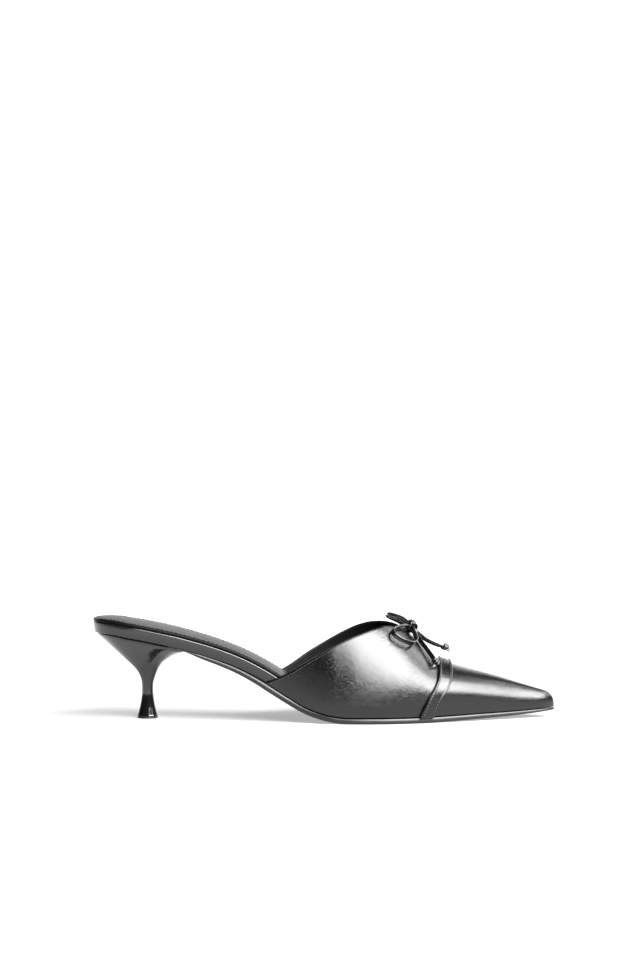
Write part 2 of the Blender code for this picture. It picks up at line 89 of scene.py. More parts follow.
# Sections of the upper: place, ridge height, ridge shift, bulge, height of the widest place.
upperSections = (
    (0.360, 0.985, -0.010, 0.05, 1.60), (0.410, 0.955, 0.005, 0.10, 1.60), (0.460, 0.915, 0.025, 0.20, 1.52),
    (0.510, 0.870, 0.040, 0.30, 1.30), (0.560, 0.818, 0.037, 0.36, 1.12), (0.620, 0.722, 0.034, 0.38, 1.10),
    (0.673, 0.595, 0.023, 0.38, 1.42), (0.703, 0.508, 0.015, 0.36, 1.56), (0.722, 0.445, 0.008, 0.34, 1.68),
    (0.736, 0.404, 0.009, 0.33, 1.75), (0.748, 0.382, 0.010, 0.32, 1.78), (0.766, 0.367, 0.010, 0.31, 1.76),
    (0.795, 0.341, 0.006, 0.29, 1.68), (0.866, 0.283, -0.012, 0.24, 1.18),
    (0.934, 0.2185, -0.030, 0.20, 0.74), (1.000, 0.157, -0.040, 0.15, 0.50),
)
# Collar line: place between the rear seam and the throat, outer height, inner height.
collarLine = (
    (0.000, 0.476, 0.476), (0.082, 0.534, 0.540), (0.197, 0.626, 0.645), (0.390, 0.770, 0.795),
    (0.524, 0.862, 0.890), (0.643, 0.925, 0.958), (0.747, 0.972, 0.992), (0.840, 0.997, 1.000),
    (0.900, 0.988, 0.992),
)
# Band: share of the way up, shift toward the heel in band widths.
bandPath = ((0.00, 1.32), (0.10, 1.10), (0.20, 0.80), (0.34, 0.32), (0.50, 0.06), (0.70, -0.02), (1.00, 0.00))


def through(rows, column):
    xs = np.array([row[0] for row in rows])
    ys = np.array([row[column] for row in rows])
    steps = np.diff(ys) / np.diff(xs)
    before, after = steps[:-1], steps[1:]
    total = np.where(before + after == 0, 1.0, before + after)
    within = np.where(before * after > 0, 2 * before * after / total, 0.0)
    slopes = np.concatenate(([steps[0]], within, [steps[-1]]))

    def value(x):
        x = np.clip(x, xs[0], xs[-1])
        k = np.clip(np.searchsorted(xs, x, side="right") - 1, 0, len(xs) - 2)
        width = xs[k + 1] - xs[k]
        t = (x - xs[k]) / width
        rise = ys[k + 1] - ys[k]
        left, right = slopes[k] * width, slopes[k + 1] * width
        return ys[k] + t * (left + t * ((left + right - 2 * rise) * t + (3 * rise - 2 * left - right)))

    return value


bottomRise, soleShare = through(bottomLine, 1), through(bottomLine, 2)
outerSide, innerSide = through(planSides, 1), through(planSides, 2)
ridgeHeight, ridgeShift = through(upperSections, 1), through(upperSections, 2)
bulgeShare, widestShare = through(upperSections, 3), through(upperSections, 4)
throatHeight = shoe["instepHeight"] * ridgeHeight(shoe["throatAt"] / shoe["length"])
throatShare = float(throatHeight / shoe["collarHeight"])
wholeCollar = (*collarLine, (1.0, throatShare, throatShare))
collarOuter, collarInner = through(wholeCollar, 1), through(wholeCollar, 2)
bandShift = through(bandPath, 1)
toeReach = shoe["length"] - shoe["gap"] - shoe["upperWall"]
middle = shoe["length"] / 2


def ease(x, start, end):
    t = np.clip((x - start) / (end - start), 0.0, 1.0)
    return t * t * (3 - 2 * t)


def baseHeight(x):
    ball = shoe["outsoleThickness"] + shoe["gap"]
    return ball + (shoe["seatHeight"] - ball) * bottomRise(x / shoe["length"])


def lifted(x, y, rise):
    step = shoe["length"] / 500
    slope = (baseHeight(x + step) - baseHeight(x - step)) / (2 * step)
    square = np.hypot(1.0, slope)
    return np.stack([x - rise * slope / square - middle, y + 0 * x, baseHeight(x) + rise / square], axis=-1)


def endRound(distance, length, power):
    t = np.clip(1 - distance / length, 0.0, 1.0)
    return (1 - t**power) ** (1 / power)


def centreLine(x):
    return shoe["ballHalfWidth"] * (innerSide(x / shoe["length"]) - outerSide(x / shoe["length"])) / 2


def halfWidth(x, side, grow):
    half = shoe["ballHalfWidth"] * (innerSide(x / shoe["length"]) + outerSide(x / shoe["length"])) / 2 + grow
    heelEnd = endRound(x + grow, shoe["heelRound"], shoe["heelRoundPower"])
    toeEnd = endRound(toeReach + grow - x, shoe["toeRound"], shoe["toeRoundPower"])
    return side * centreLine(x) + half * heelEnd * toeEnd


def sectionPoint(x, share, side):
    # the upper's outer face: share runs from the feather line, 0, to the ridge, 1
    x, share, side = np.broadcast_arrays(x, share, side)
    at = x / shoe["length"]
    foot = baseHeight(x) + shoe["gap"]
    nose = endRound(shoe["length"] - x, shoe["noseRound"], shoe["noseRoundPower"])
    toe = endRound(shoe["length"] - x, shoe["toeRound"], shoe["toeRoundPower"])
    top = foot + (shoe["instepHeight"] * ridgeHeight(at) - foot) * nose
    bulge = shoe["boardSide"] * bulgeShare(at) * toe
    wide = halfWidth(x, side, shoe["gap"] + shoe["upperWall"]) + bulge
    widest = foot + shoe["boardSide"] * widestShare(at) * nose
    widest = np.minimum(widest, foot + shoe["widestLimit"] * (top - foot))
    ridge = centreLine(x) + shoe["ballHalfWidth"] * ridgeShift(at) * toe
    low = shoe["lowShare"]
    t = np.clip(share / low, 0.0, 1.0)
    angle = math.pi / 2 * np.clip((share - low) / (1 - low), 0.0, 1.0)
    lowY = side * (wide - bulge * (1 - t) ** 2)
    highY = ridge + (side * wide - ridge) * np.cos(angle)
    lowZ = foot + (widest - foot) * t
    highZ = widest + (top - widest) * np.sin(angle)
    isLow = share < low
    return np.stack([x, np.where(isLow, lowY, highY), np.where(isLow, lowZ, highZ)], axis=-1)


def unit(vectors):
    return vectors / np.maximum(np.linalg.norm(vectors, axis=-1, keepdims=True), 1e-12)


def sectionNormal(x, share, side):
    x, share, side = np.broadcast_arrays(x, share, side)
    step, shareStep, tipReach = 2e-4, 0.02, 1e-5
    after = np.minimum(x + step, shoe["length"])
    along = sectionPoint(after, share, side) - sectionPoint(x - step, share, side)
    up, down = np.minimum(share + shareStep, 1.0), np.maximum(share - shareStep, 0.0)
    across = sectionPoint(x, up, side) - sectionPoint(x, down, side)
    normal = unit(np.cross(along, across) * np.where(side < 0, 1.0, -1.0)[..., None])
    atTip = x > shoe["length"] - tipReach
    return np.where(atTip[..., None], np.array([1.0, 0.0, 0.0]), normal)


def collarTop(x, side):
    way = np.clip((x - shoe["seamTopAt"]) / (shoe["throatAt"] - shoe["seamTopAt"]), 0.0, 1.0)
    edge = shoe["collarHeight"] * np.where(side > 0, collarInner(way), collarOuter(way))
    foot = baseHeight(shoe["seamFootAt"]) + shoe["gap"]
    start = shoe["collarHeight"] * wholeCollar[0][1]
    seam = foot + (start - foot) * (x - shoe["seamFootAt"]) / (shoe["seamTopAt"] - shoe["seamFootAt"])
    return np.where(x > shoe["seamTopAt"], edge, seam)


def collarPlace(share, side):
    # where the collar's line crosses each line of the upper, found by halving
    halvings = 34
    low = np.full(share.shape, shoe["seamFootAt"])
    high = np.full(share.shape, shoe["throatAt"])
    for _ in range(halvings):
        half = (low + high) / 2
        above = sectionPoint(half, share, side)[..., 2] > collarTop(half, side)
        low, high = np.where(above, half, low), np.where(above, high, half)
    return (low + high) / 2


def wayRound(count):
    share = np.concatenate([np.arange(count + 1), np.arange(count)[::-1]]) / count
    side = np.concatenate([np.full(count + 1, -1.0), np.full(count, 1.0)])
    return share, side


def inShoe(points):
    return points - np.array([middle, 0.0, 0.0])


# Meshes and materials


def quads(first, second, closed=False):
    count = len(first)
    return [
        (first[i], first[(i + 1) % count], second[(i + 1) % count], second[i])
        for i in range(count if closed else count - 1)
    ]


def makeMesh(name, points, faces, materials, faceMaterials=None):
    mesh = bpy.data.meshes.new(name)
    mesh.from_pydata([tuple(map(float, p)) for p in points], [], faces)
    for material in materials:
        mesh.materials.append(material)
    if faceMaterials is not None:
        mesh.polygons.foreach_set("material_index", faceMaterials)
    mesh.shade_smooth()
    mesh.validate()
    obj = bpy.data.objects.new(name, mesh)
    bpy.context.scene.collection.objects.link(obj)
    return obj


def faceOutward(obj):
    bm = bmesh.new()
    bm.from_mesh(obj.data)
    bmesh.ops.remove_doubles(bm, verts=bm.verts, dist=1e-6)
    bmesh.ops.recalc_face_normals(bm, faces=bm.faces)
    bm.to_mesh(obj.data)
    bm.free()


class Value:
    # a socket that takes part in sums

    def __init__(self, tree, socket):
        self.tree = tree
        self.socket = socket

    def join(self, operation, first, second=None):
        node = self.tree.nodes.new("ShaderNodeMath")
        node.operation = operation
        for socket, value in zip(node.inputs, (first, second)):
            if isinstance(value, Value):
                self.tree.links.new(value.socket, socket)
            elif value is not None:
                socket.default_value = value
        return Value(self.tree, node.outputs[0])

    def __add__(self, other):
        return self.join("ADD", self, other)

    def __radd__(self, other):
        return self.join("ADD", other, self)

    def __sub__(self, other):
        return self.join("SUBTRACT", self, other)

    def __rsub__(self, other):
        return self.join("SUBTRACT", other, self)

    def __mul__(self, other):
        return self.join("MULTIPLY", self, other)

    def __rmul__(self, other):
        return self.join("MULTIPLY", other, self)

    def size(self):
        return self.join("ABSOLUTE", self)


class Paint:
    # one material and the nodes in it

    def __init__(self, name):
        self.material = bpy.data.materials.new(name)
        self.material.use_nodes = True
        self.tree = self.material.node_tree
        self.tree.nodes.clear()
        self.place = self.node("ShaderNodeTexCoord", {}, {}).outputs["Object"]

    def node(self, kind, settings, sockets):
        node = self.tree.nodes.new(kind)
        for setting, value in settings.items():
            setattr(node, setting, value)
        for name, value in sockets.items():
            socket = node.inputs[name]
            if isinstance(value, Value):
                self.tree.links.new(value.socket, socket)
            elif isinstance(value, bpy.types.NodeSocket):
                self.tree.links.new(value, socket)
            else:
                socket.default_value = value
        return node

    def value(self, node, output=0):
        return Value(self.tree, node.outputs[output])

    def within(self, value, low, high):
        # 0 below low, 1 above high, smooth between
        sockets = {"Value": value, "From Min": low, "From Max": high}
        return self.value(self.node("ShaderNodeMapRange", {"interpolation_type": "SMOOTHSTEP"}, sockets))

    def stretched(self, turn, scale):
        sockets = {"Vector": self.place, "Rotation": turn}
        turned = self.node("ShaderNodeMapping", {"vector_type": "TEXTURE"}, sockets)
        return self.node("ShaderNodeMapping", {}, {"Vector": turned.outputs[0], "Scale": scale}).outputs[0]

    def noise(self, scale, detail=2.0, roughness=0.5, distortion=0.0, vector=None):
        sockets = {
            "Vector": vector or self.place,
            "Scale": scale,
            "Detail": detail,
            "Roughness": roughness,
            "Distortion": distortion,
        }
        return self.value(self.node("ShaderNodeTexNoise", {}, sockets))

    def cells(self, scale):
        sockets = {"Vector": self.place, "Scale": scale}
        return self.value(self.node("ShaderNodeTexVoronoi", {"feature": "DISTANCE_TO_EDGE"}, sockets))

    def bump(self, height, distance, strength=1.0, under=None):
        sockets = {"Height": height, "Distance": distance, "Strength": strength}
        if under is not None:
            sockets["Normal"] = under
        return self.node("ShaderNodeBump", {}, sockets).outputs[0]

    def blend(self, factor, first, second):
        # a Mix node's colour sockets are reached by number, because their names repeat
        sockets = {0: factor, 6: (*first, 1.0), 7: (*second, 1.0)}
        return self.node("ShaderNodeMix", {"data_type": "RGBA"}, sockets).outputs[2]

    def finish(self, fixed, varied):
        shader = self.node("ShaderNodeBsdfPrincipled", {}, {**fixed, **varied})
        self.node("ShaderNodeOutputMaterial", {}, {"Surface": shader.outputs[0]})
        return self.material


# Camera and lights

cameraPlace = {
    "distance": 1.8,
    "elevation": 5.0,
    "target": (0.0, 0.0, 0.0306),
    "millimetresPerPixel": 0.58,
    "targetPixel": (324.0, 665.0),
    "frame": (640.0, 960.0),
    "sensor": 36.0,
}


def makeCamera():
    data = bpy.data.cameras.new("studioCamera")
    camera = bpy.data.objects.new("studioCamera", data)
    bpy.context.scene.collection.objects.link(camera)
    perPixel = cameraPlace["millimetresPerPixel"] / 1000
    distance = cameraPlace["distance"]
    data.sensor_fit = "HORIZONTAL"
    data.sensor_width = cameraPlace["sensor"]
    data.lens = cameraPlace["sensor"] * distance / (cameraPlace["frame"][0] * perPixel)
    data.clip_start = 0.01
    data.clip_end = 20.0
    tilt = math.radians(cameraPlace["elevation"])
    away = Vector((0.0, -math.cos(tilt), math.sin(tilt))) * distance
    camera.location = Vector(cameraPlace["target"]) + away
    right = (cameraPlace["targetPixel"][0] - cameraPlace["frame"][0] / 2) * perPixel / distance
    down = (cameraPlace["targetPixel"][1] - cameraPlace["frame"][1] / 2) * perPixel / distance
    camera.rotation_euler = (math.pi / 2 - tilt + math.atan(down), 0.0, math.atan(right))
    bpy.context.scene.camera = camera


makeCamera()
print("camera in place")

lights = {
    # azimuth from the camera's side toward the toe, elevation, distance, width, height, radiance
    "keySoftbox": (43.0, 44.0, 1.40, 1.75, 1.25, 24.0),
    "rearSoftbox": (125.0, 32.0, 1.60, 0.70, 0.90, 5.0),
}


def makeLight(name, azimuth, elevation, distance, width, height, radiance):
    data = bpy.data.lights.new(name, "AREA")
    data.shape = "RECTANGLE"
    data.size = width
    data.size_y = height
    data.energy = radiance * math.pi * width * height
    light = bpy.data.objects.new(name, data)
    turn, rise = math.radians(azimuth), math.radians(elevation)
    level = math.cos(rise)
    away = Vector((math.sin(turn) * level, -math.cos(turn) * level, math.sin(rise)))
    light.location = away * distance
    light.rotation_euler = away.to_track_quat("Z", "Y").to_euler()
    bpy.context.scene.collection.objects.link(light)


for lightName, lightFacts in lights.items():
    makeLight(lightName, *lightFacts)

studio = {
    "worldShade": 0.02,
    "floorShade": 0.22,
    "floorMottle": 0.01,
    "backdropGlow": 1.10,
    "glowAtShoe": 0.38,
    "glowReach": (0.05, 0.60),
    "halfWidth": 2.0,
    "flatAt": (-2.2, -0.9, -0.4, 0.4, 1.2),
    "bendRadius": 0.5,
    "bendFrom": 0.1,
    "backdropTop": 0.75,
}


def makeStudio():
    world = bpy.data.worlds.new("studioAir")
    world.use_nodes = True
    world.node_tree.nodes["Background"].inputs["Color"].default_value = (*[studio["worldShade"]] * 3, 1.0)
    bpy.context.scene.world = world
    profile = [(place, 0.0) for place in studio["flatAt"]]
    bend, radius = studio["flatAt"][-1], studio["bendRadius"]
    turns = np.linspace(studio["bendFrom"], math.pi / 2, 12)
    profile += [(bend + radius * math.sin(turn), radius - radius * math.cos(turn)) for turn in turns]
    profile += [(bend + radius, studio["backdropTop"])]
    points = [(x, y, z) for y, z in profile for x in (-studio["halfWidth"], studio["halfWidth"])]
    faces = [(2 * i, 2 * i + 1, 2 * i + 3, 2 * i + 2) for i in range(len(profile) - 1)]
    paint = Paint("floorPaper")
    mottle = studio["floorMottle"]
    tone = paint.noise(3.0, 2.0) * mottle + (studio["floorShade"] - mottle / 2)
    shade = paint.node("ShaderNodeCombineColor", {}, {"Red": tone, "Green": tone, "Blue": tone}).outputs[0]
    away = paint.node("ShaderNodeVectorMath", {"operation": "LENGTH"}, {"Vector": paint.place})
    far = paint.within(paint.value(away, "Value"), *studio["glowReach"])
    glow = far * (1 - studio["glowAtShoe"]) + studio["glowAtShoe"]
    light = paint.node("ShaderNodeCombineColor", {}, {"Red": glow, "Green": glow, "Blue": glow}).outputs[0]
    fixed = {"Roughness": 0.9, "Specular IOR Level": 0.0, "Emission Strength": studio["backdropGlow"]}
    paper = paint.finish(fixed, {"Base Color": shade, "Emission Color": light})
    makeMesh("studioFloor", points, faces, [paper])


makeStudio()
bpy.context.scene.view_settings.view_transform = "Standard"
print("lights and floor in place")

# Materials

patentLook = {
    "roughness": 0.10,
    "roughnessSpread": 0.08,
    "crinkle": 0.00021,
    "crinkleSlant": 38,
    "crinkleScale": (620.0, 900.0, 2000.0),
    "grain": 0.00002,
    "grainScale": 1500.0,
    "mottleScale": 90.0,
}
leatherLooks = {
    # shade, roughness, coat, depth of the grain, its scale, gloss
    "liningLeather": (0.003, 0.55, 0.0, 0.00008, 1500.0, 0.15),
    "boardLeather": (0.003, 0.20, 0.35, 0.00002, 1600.0, 0.5),
    "sockLeather": (0.003, 0.34, 0.0, 0.00004, 1400.0, 0.06),
    "bowLeather": (0.003, 0.20, 0.35, 0.00003, 1800.0, 0.5),
    "soleFinish": (0.006, 0.38, 0.0, 0.00004, 1200.0, 0.5),
    "heelFinish": (0.003, 0.12, 0.40, 0.00001, 1500.0, 0.5),
    "liftRubber": (0.003, 0.55, 0.0, 0.00005, 2500.0, 0.5),
    "threadFinish": (0.030, 0.45, 0.0, 0.00003, 4000.0, 0.5),
}


def vampLeather():
    # glossy calf with fine, slanting crinkles and a soft pebble
    paint = Paint("glossyLeather")
    slant = paint.stretched((0.0, math.radians(patentLook["crinkleSlant"]), 0.0), patentLook["crinkleScale"])
    folds = (paint.noise(1.0, 3.0, 0.55, 0.6, slant) - 0.5).size()
    pebble = paint.cells(patentLook["grainScale"])
    first = paint.bump(folds, patentLook["crinkle"])
    second = paint.bump(pebble, patentLook["grain"], 0.6, first)
    mottle = paint.noise(patentLook["mottleScale"], 3.0)
    shade = paint.blend(mottle, (0.0016, 0.0016, 0.0018), (0.0030, 0.0030, 0.0033))
    spread = patentLook["roughnessSpread"]
    rough = mottle * spread + (patentLook["roughness"] - spread / 2)
    return paint.finish({"IOR": 1.52}, {"Base Color": shade, "Roughness": rough, "Normal": second})


def plainLeather(name):
    shade, roughness, coat, grain, grainScale, gloss = leatherLooks[name]
    spread = 0.10
    paint = Paint(name)
    pebble = paint.cells(grainScale)
    soft = paint.noise(grainScale / 8, 3.0)
    bump = paint.bump(pebble + soft, grain)
    colour = paint.blend(soft, (shade * 0.75,) * 3, (shade * 1.3,) * 3)
    rough = soft * spread + (roughness - spread / 2)
    fixed = {"Coat Weight": coat, "Coat Roughness": 0.08, "Specular IOR Level": gloss}
    return paint.finish(fixed, {"Base Color": colour, "Roughness": rough, "Normal": bump})


leatherVamp = vampLeather()
leatherLining = plainLeather("liningLeather")
leatherBoard = plainLeather("boardLeather")
leatherSock = plainLeather("sockLeather")
leatherBow = plainLeather("bowLeather")
leatherSole = plainLeather("soleFinish")
leatherHeel = plainLeather("heelFinish")
rubberLift = plainLeather("liftRubber")
threadFinish = plainLeather("threadFinish")
print("materials made")

# Upper

upperLook = {
    "half": 76,
    "rows": 210,
    "edgeSteps": 5,
    "stitchInset": 0.0011,
    "stitchDepth": 0.00016,
    "stitchSpread": 0.00028,
}


def makeUpper():
    share, side = wayRound(upperLook["half"])
    starts = collarPlace(share, side)
    wall = shoe["upperWall"]
    t = np.sin(np.pi / 2 * np.arange(upperLook["rows"] + 1) / upperLook["rows"])[:, None]

    def face(endAt, shift, pullBack):
        x = starts + pullBack + (endAt - starts - pullBack) * t
        grid = sectionPoint(x, share, side)
        normal = sectionNormal(x, share, side)
        steps = np.linalg.norm(np.diff(grid, axis=0), axis=-1)
        reach = np.concatenate([np.zeros((1, len(share))), np.cumsum(steps, axis=0)])
        if shift == 0.0:
            fromRow = reach + pullBack - upperLook["stitchInset"]
            groove = np.exp(-((fromRow / upperLook["stitchSpread"]) ** 2))
            grid = grid - normal * (groove * upperLook["stitchDepth"])[..., None]
        return inShoe(grid + normal * shift)

    outer = face(shoe["length"], 0.0, wall / 2)
    inner = face(shoe["length"] - wall, -wall, wall / 2)
    heart = (outer[0] + inner[0]) / 2
    half = (outer[0] - inner[0]) / 2
    back = unit(outer[0] - outer[2]) * (wall / 2)
    edge = []
    for k in range(1, upperLook["edgeSteps"]):
        turn = math.pi * k / upperLook["edgeSteps"]
        edge.append(heart + half * math.cos(turn) + back * math.sin(turn))
    rows = [*outer[::-1], *edge, *inner]
    count = len(share)
    points = np.concatenate(rows)
    faces, kinds = [], []
    for r in range(len(rows) - 1):
        ring = quads(range(r * count, (r + 1) * count), range((r + 1) * count, (r + 2) * count))
        faces += ring
        kinds += [1 if r > len(outer) + len(edge) - 2 else 0] * len(ring)
    for column in (0, count - 1):
        low = [r * count + column for r in range(len(outer))]
        high = [len(points) - 1 - r * count - (count - 1 - column) for r in range(len(inner))]
        wallFaces = quads(low, high)
        faces += wallFaces
        kinds += [0] * len(wallFaces)
    return makeMesh("upperLeather", points, faces, [leatherVamp, leatherLining], kinds)


upperPiece = makeUpper()
print("upper made")

# Board, footbed and sole

plateLook = {"stations": 130, "across": 18, "roundSteps": 4}
footbedLook = {
    "thickness": 0.0018,
    "crown": 0.0007,
    "stitchInset": 0.0028,
    "groove": 0.00014,
    "grooveHalf": 0.0004,
    "pillowInset": 0.0012,
    "pillowRise": 0.00006,
}
outsoleLook = {
    "pastUpper": 0.0003,
    "inset": 0.0010,
    "widensBefore": 0.0400,
    "startShare": 0.25,
    "startBefore": 0.005,
    "fullAfter": 0.012,
}


def boardThickness(x):
    fade = ease(x, shoe["seamTopAt"], shoe["seamTopAt"] + shoe["boardTaper"])
    return shoe["boardSide"] + (shoe["boardInside"] - shoe["boardSide"]) * fade


def makePlate(name, material, start, levels, crown=0.0):
    # each level: outward growth at a place, rise at a place
    count = plateLook["stations"]
    spread = (1 - np.cos(np.pi * np.arange(count + 1) / count)) / 2
    rings = []
    for grow, rise in levels:
        widest = float(np.max(grow(np.array([toeReach]))))
        first = start if start is not None else -widest
        x = first + (toeReach + widest - first) * spread
        edge = [lifted(x, side * halfWidth(x, side, grow(x)), rise(x)) for side in (-1, 1)]
        rings.append(np.concatenate([edge[0], edge[1][::-1]]))
    size = 2 * (count + 1)
    points = list(np.concatenate(rings))
    faces = []
    for r in range(len(rings) - 1):
        faces += quads(range(r * size, (r + 1) * size), range((r + 1) * size, (r + 2) * size), True)
    t = np.arange(plateLook["across"] + 1) / plateLook["across"]
    for r, arch in ((0, 0.0), (len(rings) - 1, crown)):
        rows = []
        for k in range(count + 1):
            left, right = rings[r][k], rings[r][size - 1 - k]
            width = np.linalg.norm(left - right)
            line = left + (right - left) * t[1:-1, None]
            line[:, 2] += arch * min(1.0, width / shoe["ballHalfWidth"]) * 4 * t[1:-1] * (1 - t[1:-1])
            rows.append([r * size + k, *range(len(points), len(points) + len(line)), r * size + size - 1 - k])
            points += list(line)
        for before, after in zip(rows, rows[1:]):
            faces += quads(before, after)
    obj = makeMesh(name, points, faces, [material])
    faceOutward(obj)
    return obj


def fixedGrow(amount):
    return lambda x: np.full(np.shape(x), amount)


def makeBoard():
    edge, lean = shoe["edgeRound"], shoe["boardLean"]
    levels = []
    turns = np.linspace(0.0, math.pi / 2, plateLook["roundSteps"] + 1)
    for turn in turns:
        levels.append((-lean - edge * (1 - math.sin(turn)), edge * (1 - math.cos(turn)), 0))
    for turn in turns:
        levels.append((-edge * (1 - math.cos(turn)) - edge / 8, -edge * (1 - math.sin(turn)), 1))
    made = [
        (fixedGrow(grow), (lambda x, up=up, top=top: up + top * boardThickness(x)))
        for grow, up, top in levels
    ]
    return makePlate("boardWrap", leatherBoard, None, made)


def makeFootbed():
    edge = shoe["edgeRound"]
    thick, stitch = footbedLook["thickness"], footbedLook["stitchInset"]
    groove, reach = footbedLook["groove"], footbedLook["grooveHalf"]
    profile = [(-1.3 * edge, 0.0), (-0.55 * edge, 0.15 * edge), (-0.25 * edge, 0.7 * edge)]
    profile += [(-0.3 * edge, thick - 1.4 * edge), (-0.75 * edge, thick - 0.6 * edge)]
    profile += [(-1.6 * edge, thick - 0.15 * edge), (-2.8 * edge, thick)]
    profile += [(-stitch + reach, thick - 0.05 * groove), (-stitch, thick - groove), (-stitch - reach, thick)]
    profile += [(-stitch - footbedLook["pillowInset"], thick + footbedLook["pillowRise"])]
    levels = [
        (fixedGrow(grow), (lambda x, up=up: boardThickness(x) + shoe["gap"] + up)) for grow, up in profile
    ]
    return makePlate("footbedSock", leatherSock, None, levels, footbedLook["crown"])


def makeOutsole():
    edge, gap = shoe["edgeRound"], shoe["gap"]
    under, inset = gap + shoe["upperWall"] + outsoleLook["pastUpper"], outsoleLook["inset"]
    startsAt = shoe["breastAt"] - outsoleLook["startBefore"]

    def rim(x):
        widensAt = shoe["seamFootAt"] - outsoleLook["widensBefore"]
        return -inset + (under + inset) * ease(x, widensAt, shoe["seamTopAt"])

    def low(x):
        share, fullAt = outsoleLook["startShare"], shoe["breastAt"] + outsoleLook["fullAfter"]
        feather = share + (1 - share) * ease(x, startsAt, fullAt)
        return -gap - shoe["outsoleThickness"] * soleShare(x / shoe["length"]) * feather

    levels = [
        (lambda x: rim(x) - 2.2 * edge, low),
        (lambda x: rim(x) - 1.2 * edge, lambda x: low(x) + 0.08 * edge),
        (lambda x: rim(x) - 0.45 * edge, lambda x: low(x) + 0.45 * edge),
        (lambda x: rim(x) - 0.08 * edge, lambda x: low(x) + edge),
        (rim, lambda x: low(x) * 0.5 - gap / 2),
        (rim, lambda x: -gap + 0 * x - 0.1 * edge),
        (lambda x: rim(x) - 0.15 * edge, lambda x: -gap + 0 * x),
    ]
    return makePlate("outsoleLeather", leatherSole, startsAt, levels)


boardPiece, footbedPiece, outsolePiece = makeBoard(), makeFootbed(), makeOutsole()
print("board, footbed and outsole made")

# Heel

heelFacts = {
    "baseAt": 0.0316,
    "baseLength": 0.0120,
    "baseHeight": 0.0013,
    "inset": 0.0010,
    "around": 96,
    "between": 5,
    "seatSquare": 7.0,
    "stemSquare": 2.2,
    "backSquare": 2.1,
    "baseEdge": 0.0002,
}
liftFacts = {"inset": 0.0002, "topEdge": 0.00012, "foot": ((0.0, 0.00032), (0.00012, 0.0001), (0.0003, 0.0))}
# Cup: share of the way back, forward and sideways, height at the back and the front, squareness, and how far
# it follows the seat's curve.
cupRings = (
    (0.888, 0.945, 0.990, 0.968, 0.782, 5.5, 0.8),
    (0.710, 0.779, 0.795, 0.876, 0.757, 4.0, 0.5),
    (0.519, 0.603, 0.590, 0.778, 0.728, 3.2, 0.2),
    (0.332, 0.427, 0.395, 0.682, 0.688, 2.7, 0.0),
    (0.191, 0.276, 0.236, 0.608, 0.644, 2.4, 0.0),
    (0.099, 0.168, 0.130, 0.552, 0.592, 2.3, 0.0),
    (0.035, 0.085, 0.050, 0.492, 0.522, 2.2, 0.0),
)
# Stem: height, length and width as shares of the seat's height and the base.
stemRings = (
    (0.424, 0.600, 0.750),
    (0.338, 0.550, 0.690),
    (0.258, 0.590, 0.700),
    (0.160, 0.710, 0.790),
    (0.088, 0.858, 0.900),
)


def heelPlan(back, front, half, square):
    angle = 2 * np.pi * (np.arange(heelFacts["around"]) + 0.5) / heelFacts["around"]
    c, s = np.cos(angle), np.sin(angle)
    power = np.where(c > 0, square, heelFacts["backSquare"])
    size = (np.abs(c) ** power + np.abs(s) ** power) ** (-1 / power)
    return (back + front) / 2 + (front - back) / 2 * c * size, half * s * size


def levelRing(halfLength, half, height):
    middleAt = heelFacts["baseAt"]
    x, y = heelPlan(middleAt - halfLength, middleAt + halfLength, half, heelFacts["stemSquare"])
    return np.stack([x - middle, y, np.full(x.shape, height)], axis=-1)


def between(rings, steps):
    # smooth rings through the given ones
    ends = [2 * rings[0] - rings[1], *rings, 2 * rings[-1] - rings[-2]]
    made = []
    for i in range(len(rings) - 1):
        a, b, c, d = ends[i : i + 4]
        for k in range(steps):
            t = k / steps
            square, cube = 2 * a - 5 * b + 4 * c - d, 3 * b - a - 3 * c + d
            made.append((2 * b + (c - a) * t + square * t**2 + cube * t**3) / 2)
    return [*made, rings[-1]]


def stackRings(name, material, rings):
    size = heelFacts["around"]
    points = np.concatenate(rings)
    faces = []
    for r in range(len(rings) - 1):
        faces += quads(range(r * size, (r + 1) * size), range((r + 1) * size, (r + 2) * size), True)
    for start in (0, (len(rings) - 1) * size):
        for k in range(size // 2 - 1):
            faces.append((start + k, start + k + 1, start + size - 2 - k, start + size - 1 - k))
    obj = makeMesh(name, points, faces, [material])
    faceOutward(obj)
    return obj


def makeHeel():
    edge, half = shoe["edgeRound"], heelFacts["baseLength"] / 2
    seatHalf = shoe["ballHalfWidth"] * planSides[1][1] - shoe["boardLean"] - edge - heelFacts["inset"]
    back = shoe["boardLean"] + edge + heelFacts["inset"]
    x, y = heelPlan(back, shoe["breastAt"], seatHalf, heelFacts["seatSquare"])
    rings = [lifted(x, y, -shoe["gap"])]
    stemX, stemY = half * stemRings[0][1], half * stemRings[0][2]
    stemBack, stemFront = heelFacts["baseAt"] - stemX, heelFacts["baseAt"] + stemX
    for toBack, toFront, toSide, backUp, frontUp, square, follow in cupRings:
        xBack = stemBack * (1 - toBack)
        xFront = stemFront + (shoe["breastAt"] - stemFront) * toFront
        x, y = heelPlan(xBack, xFront, stemY + (seatHalf - stemY) * toSide, square)
        t = (x - xBack) / (xFront - xBack)
        chord = baseHeight(xBack) + (baseHeight(xFront) - baseHeight(xBack)) * t
        z = shoe["seatHeight"] * (backUp + (frontUp - backUp) * t) + follow * (baseHeight(x) - chord)
        rings.append(np.stack([x - middle, y, z], axis=-1))
    rings += [levelRing(half * long, half * wide, shoe["seatHeight"] * up) for up, long, wide in stemRings]
    base, edge = heelFacts["baseHeight"], heelFacts["baseEdge"]
    last = levelRing(half * 0.985, half * 0.985, base + 2 * edge)
    rings = between([*rings, last], heelFacts["between"])
    rings += [levelRing(half, half, base + edge), levelRing(half * 0.99, half * 0.99, base)]
    return stackRings("heelWrap", leatherHeel, rings)


